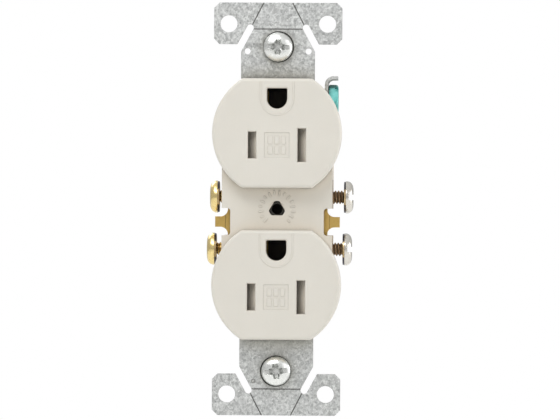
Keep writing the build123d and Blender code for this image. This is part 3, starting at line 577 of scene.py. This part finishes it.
def prism(name, outline, low, high, shrink=1.0):
    """A closed prism along Z from an outline, which shrinks towards its low end."""
    count = len(outline)
    points = [(x * shrink, y * shrink, low) for x, y in outline]
    points += [(x, y, high) for x, y in outline]
    faces = [tuple(reversed(range(count))), tuple(range(count, 2 * count))]
    for step in range(count):
        following = (step + 1) % count
        faces.append((step, following, count + following, count + step))
    return mesh_piece(name, points, faces, "zinc_plate")


def bar_outline(length, width, turn=0.0):
    """A bar's four corners about the origin, turned by an angle."""
    corners = [(-length, -width), (length, -width), (length, width), (-length, width)]
    cosine, sine = math.cos(turn), math.sin(turn)
    return [((x * cosine - y * sine) / 2, (x * sine + y * cosine) / 2) for x, y in corners]


def cross_outline(length, width, corner):
    """The twelve corners of a cross whose inner corners lie the given distance out along X and Y."""
    quarter = [(length / 2, -width / 2), (length / 2, width / 2), (corner, corner)]
    return [
        (x * math.cos(turn) - y * math.sin(turn), x * math.sin(turn) + y * math.cos(turn))
        for turn in [math.pi / 2 * step for step in range(4)] for x, y in quarter
    ]


def stand(piece, middle, along):
    """Moves the mesh of a piece modelled about Z to a point, with its Z along a direction."""
    turn = Vector(along).to_track_quat("Z", "Y").to_matrix().to_4x4()
    piece.data.transform(Matrix.Translation(middle) @ turn)
    smooth(piece.data)


def paint_shank(piece, below, material):
    """Gives the faces of a piece below a height the second material."""
    piece.data.materials.append(MATERIALS[material])
    for face in piece.data.polygons:
        if face.center.z < below:
            face.material_index = 1


def shade_rim(piece, below):
    """Paints the top and bottom of a head's underside with dark painted shade, and its middle with a
    brass-coloured painted reflection.
    """
    piece.data.materials.append(MATERIALS["rim_painted_shade"])
    piece.data.materials.append(MATERIALS["rim_painted_reflection"])
    for face in piece.data.polygons:
        x, y, z = face.center
        if z < below and math.hypot(x, y) > PAINTED_SHADE_RADIUS + 0.05 * MM:
            face.material_index = 2 if abs(y) > PAINTED_REFLECTION_HALF else 3


def finish_piece(piece, node, body):
    """Puts a piece in its CAD node's place."""
    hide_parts(node)
    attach(piece, body)


def middle_of(node):
    low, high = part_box(node)
    return [(a + b) / 2 for a, b in zip(low, high)]


# Screws

def dome(low, high, wide, flat, power=2.4):
    """Rings from a rim up over a dome to the edge of its flat top."""
    rings = []
    for step in range(1, DOME_STEPS + 1):
        share = math.sin(math.pi / 2 * step / DOME_STEPS)
        reach = flat + (wide - flat) * (1 - share ** power) ** (1 / power)
        rings.append((low + (high - low) * share, reach))
    return rings


def saw_slot(piece, length, width, top, depth, turn=0.0):
    """Saws a slot across a head."""
    cut(piece, prism("slot", bar_outline(length, width, turn), top - depth, top + MM))


def sink_cross(piece, top, length, width, corner, depth):
    """Sinks a cross whose wings taper towards its floor into a head."""
    outline = cross_outline(length, width, corner)
    cut(piece, prism("cross", outline, top - depth, top + 0.3 * MM, shrink=0.45))


def binding_screw(node, side, slot_turn, material, shank_material):
    """A slotted binding-head terminal screw whose axis runs out along X."""
    low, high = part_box(node)
    outer = high[0] if side > 0 else -low[0]
    inner = low[0] if side > 0 else -high[0]
    radius = (high[2] - low[2]) / 2
    under = outer - BINDING_HEAD
    rings = thread_rings(inner, under, CREST_6_32)
    rings += [(under, SHOULDER), (under, PAINTED_SHADE_RADIUS)]
    rings += [(under + rise * MM, radius - inset * MM) for rise, inset in COLLAR]
    rings += dome(rings[-1][0], outer, radius, BINDING_FLAT)
    piece = turned(node + "_binding", rings, material)
    saw_slot(piece, 4 * radius, BINDING_SLOT, outer, BINDING_SLOT_DEPTH, slot_turn)
    paint_shank(piece, under + 0.01 * MM, shank_material)
    shade_rim(piece, under + PAINTED_SHADE_HEIGHT)
    middle = middle_of(node)
    stand(piece, (0, middle[1], middle[2]), (side, 0, 0))
    finish_piece(piece, node, node)


for end in ("upper", "lower"):
    binding_screw(f"{end}_hot_screw", -1, math.pi / 2, "brass_plate", "brass_plate")
for end in ("upper", "lower"):
    binding_screw(f"{end}_neutral_screw", 1, 0.0, "nickel_plate", "oily_thread")


def hexagon(reach):
    """The radius of the ground screw's hexagon at each angle, with its corners cut off by a circle."""
    def radius(angle):
        local = angle % (math.pi / 3) - math.pi / 6
        return min(HEX_FLAT / math.cos(local), reach)
    return radius


def ground_screw():
    """The green slotted hex-head screw of the ground terminal."""
    node = "ground_screw"
    low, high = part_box(node)
    middle = middle_of(node)
    outer, inner = high[0], low[0]
    under = outer - HEX_HEAD
    rings = thread_rings(inner, under, CREST_6_32)
    rings += [(under, SHOULDER), (under, HEX_WASHER)]
    rings += [(under + 0.12 * MM, hexagon(HEX_LOW_CORNER)), (under + 0.3 * MM, hexagon(HEX_CORNER))]
    for step in range(HEX_CROWN_STEPS + 1):
        angle = math.pi / 2 * step / HEX_CROWN_STEPS
        height = outer - HEX_CROWN * (1 - math.sin(angle))
        rings.append((height, hexagon(HEX_CORNER - HEX_CROWN_INSET * (1 - math.cos(angle)))))
    piece = turned("ground_hex", rings, "green_paint")
    saw_slot(piece, 3 * HEX_CORNER, HEX_SLOT, outer, HEX_SLOT_DEPTH, HEX_SLOT_TURN)
    piece.data.transform(Matrix.Rotation(HEX_TURN, 4, "Z"))
    stand(piece, (0, middle[1], middle[2]), (1, 0, 0))
    finish_piece(piece, node, node)


ground_screw()


def mounting_screw(side, drive_turn):
    """A domed combination-drive screw through the strap, its thread bare behind the washer."""
    node = f"{side}_mounting_screw"
    low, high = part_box(node)
    middle = middle_of(node)
    radius = (high[2] - low[2]) / 2
    top, tip = -low[1], -high[1]
    under = top - MOUNTING_HEAD
    rings = thread_rings(tip, under - 0.05 * MM, CREST_6_32, point=MOUNTING_POINT)
    rings += [(under, MOUNTING_NECK), (under, radius - 0.15 * MM), (under + 0.12 * MM, radius)]
    rings += [(under + MOUNTING_RIM, radius)]
    rings += dome(under + MOUNTING_RIM, top, radius, MOUNTING_FLAT, power=2.1)
    piece = turned(node + "_domed", rings, "zinc_plate")
    sink_cross(piece, top, *MOUNTING_CROSS)
    saw_slot(piece, 2 * radius, MOUNTING_SLOT, top, MOUNTING_SLOT_DEPTH)
    piece.data.transform(Matrix.Rotation(drive_turn, 4, "Z"))
    stand(piece, (middle[0], 0, middle[2]), (0, -1, 0))
    finish_piece(piece, node, node)


def assembly_screws(side):
    """The two pan-head screws that hold the halves together, seen in wells at the back."""
    node = f"{side}_assembly_screws"
    low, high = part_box(node)
    radius = (high[2] - low[2]) / 2
    top, tip = high[1], low[1]
    under = top - PAN_HEAD
    pair = []
    for x in (low[0] + radius, high[0] - radius):
        rings = thread_rings(tip, under, PAN_CREST, PAN_PITCH, PAN_THREAD_DEPTH, PAN_POINT)
        rings += [(under, PAN_NECK), (under, radius - 0.1 * MM), (under + 0.1 * MM, radius)]
        rings += [(under + PAN_RIM, radius)]
        rings += dome(under + PAN_RIM, top, radius, PAN_FLAT, power=2.6)
        screw = turned(node + "_pan", rings, "zinc_plate")
        sink_cross(screw, top, *PAN_CROSS)
        stand(screw, (x, 0, (low[2] + high[2]) / 2), (0, 1, 0))
        pair.append(screw)
    with bpy.context.temp_override(active_object=pair[0], selected_editable_objects=pair):
        bpy.ops.object.join()
    finish_piece(pair[0], node, "outlet_frame")


def shutter_spring(side):
    """The coil behind a slider, with closed end turns."""
    node = f"{side}_shutter_spring"
    low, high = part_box(node)
    middle = middle_of(node)
    radius = (high[2] - low[2]) / 2 - SPRING_WIRE
    length = high[0] - low[0] - 2 * SPRING_WIRE
    total = round(SPRING_TURNS * SPRING_STEPS)
    points, faces = [], []
    for step in range(total + 1):
        share = step / total
        turn = 2 * math.pi * SPRING_TURNS * share
        rise = min(1.0, max(0.0, (share - CLOSED_SHARE) / (1 - 2 * CLOSED_SHARE)))
        along = low[0] + SPRING_WIRE + length * (CLOSED_RISE * share + (1 - CLOSED_RISE) * rise)
        for corner in range(WIRE_SIDES):
            angle = 2 * math.pi * corner / WIRE_SIDES
            reach = radius + SPRING_WIRE * math.cos(angle)
            points.append((
                along + SPRING_WIRE * math.sin(angle),
                middle[1] + reach * math.cos(turn),
                middle[2] + reach * math.sin(turn),
            ))
    faces.append(tuple(range(WIRE_SIDES)))
    for step in range(total):
        for corner in range(WIRE_SIDES):
            following = (corner + 1) % WIRE_SIDES
            here, there = step * WIRE_SIDES, (step + 1) * WIRE_SIDES
            faces.append((here + corner, there + corner, there + following, here + following))
    faces.append(tuple(reversed(range(total * WIRE_SIDES, (total + 1) * WIRE_SIDES))))
    piece = mesh_piece(node + "_coil", points, faces, "spring_steel")
    smooth(piece.data)
    finish_piece(piece, node, "outlet_frame")
    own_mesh(piece)


for side, drive_turn in MOUNTING_TURNS:
    mounting_screw(side, math.radians(drive_turn))
    assembly_screws(side)
    shutter_spring(side)


# The CAD nodes that stay

slots = {part["node"]: part["material_slot"] for part in frame["record"]["subparts"]}
for node, piece in frame["nodes"].items():
    piece.data.materials.clear()
    piece.data.materials.append(MATERIALS[slots[node]])
    smooth(piece.data, 30.0)


# Stage, light and camera

def make_floor():
    """A round floor below the outlet."""
    points = []
    for step in range(FLOOR_SIDES):
        angle = 2 * math.pi * step / FLOOR_SIDES
        points.append((FLOOR_RADIUS * math.cos(angle), FLOOR_RADIUS * math.sin(angle), FLOOR_HEIGHT))
    mesh = bpy.data.meshes.new("floor")
    mesh.from_pydata(points, [], [tuple(range(FLOOR_SIDES))])
    floor = bpy.data.objects.new("floor", mesh)
    bpy.context.scene.collection.objects.link(floor)
    mesh.materials.append(pale_floor())


def make_world():
    """White where the camera looks past the object, and a soft studio all round for the light."""
    world = bpy.data.worlds.new("studio")
    bpy.context.scene.world = world
    world.use_nodes = True
    nodes, links = world.node_tree.nodes, world.node_tree.links
    nodes.clear()
    place = nodes.new("ShaderNodeTexCoord")
    split = nodes.new("ShaderNodeSeparateXYZ")
    links.new(place.outputs["Generated"], split.inputs[0])
    ramp = nodes.new("ShaderNodeValToRGB")
    for position, value in SKY_STOPS[1:-1]:
        ramp.color_ramp.elements.new(position)
    for element, (position, value) in zip(ramp.color_ramp.elements, SKY_STOPS):
        element.color = colour(value, value, value * SKY_BLUE)
    height = nodes.new("ShaderNodeMapRange")
    height.inputs["From Min"].default_value = -1
    links.new(split.outputs["Z"], height.inputs["Value"])
    links.new(height.outputs["Result"], ramp.inputs[0])
    studio = nodes.new("ShaderNodeBackground")
    links.new(ramp.outputs["Color"], studio.inputs["Color"])
    white = nodes.new("ShaderNodeBackground")
    white.inputs["Color"].default_value = (1, 1, 1, 1)
    path = nodes.new("ShaderNodeLightPath")
    blend = nodes.new("ShaderNodeMixShader")
    links.new(path.outputs["Is Camera Ray"], blend.inputs[0])
    links.new(studio.outputs[0], blend.inputs[1])
    links.new(white.outputs[0], blend.inputs[2])
    output = nodes.new("ShaderNodeOutputWorld")
    links.new(blend.outputs[0], output.inputs["Surface"])


def softbox(name, place, size, watts):
    """A square area light that looks at the object."""
    light = bpy.data.lights.new(name, "AREA")
    light.energy = watts
    light.shape = "SQUARE"
    light.size = size
    lamp = bpy.data.objects.new(name, light)
    aim = Vector(place).to_track_quat("Z", "Y").to_matrix().to_4x4()
    lamp.matrix_world = Matrix.Translation(place) @ aim
    bpy.context.scene.collection.objects.link(lamp)


def make_camera():
    """The long-lens front view."""
    data = bpy.data.cameras.new("camera")
    data.sensor_width = SENSOR_WIDTH
    data.lens = SENSOR_WIDTH * CAMERA_DISTANCE / VIEW_WIDTH
    data.clip_start = 0.01
    camera = bpy.data.objects.new("camera", data)
    aim = Matrix.Translation((CAMERA_SHIFT_X, 0, CAMERA_SHIFT_Z)) @ Matrix.Rotation(CAMERA_TURN, 4, "Z")
    place = aim @ Matrix.Translation((0, -CAMERA_DISTANCE, 0))
    upright = Matrix.Rotation(math.pi / 2, 4, "X")
    camera.matrix_world = place @ upright @ Matrix.Rotation(CAMERA_ROLL, 4, "Z")
    bpy.context.scene.collection.objects.link(camera)
    bpy.context.scene.camera = camera


make_floor()
make_world()
for settings in SOFTBOXES:
    softbox(*settings)
make_camera()
bpy.context.scene.view_settings.view_transform = "Standard"
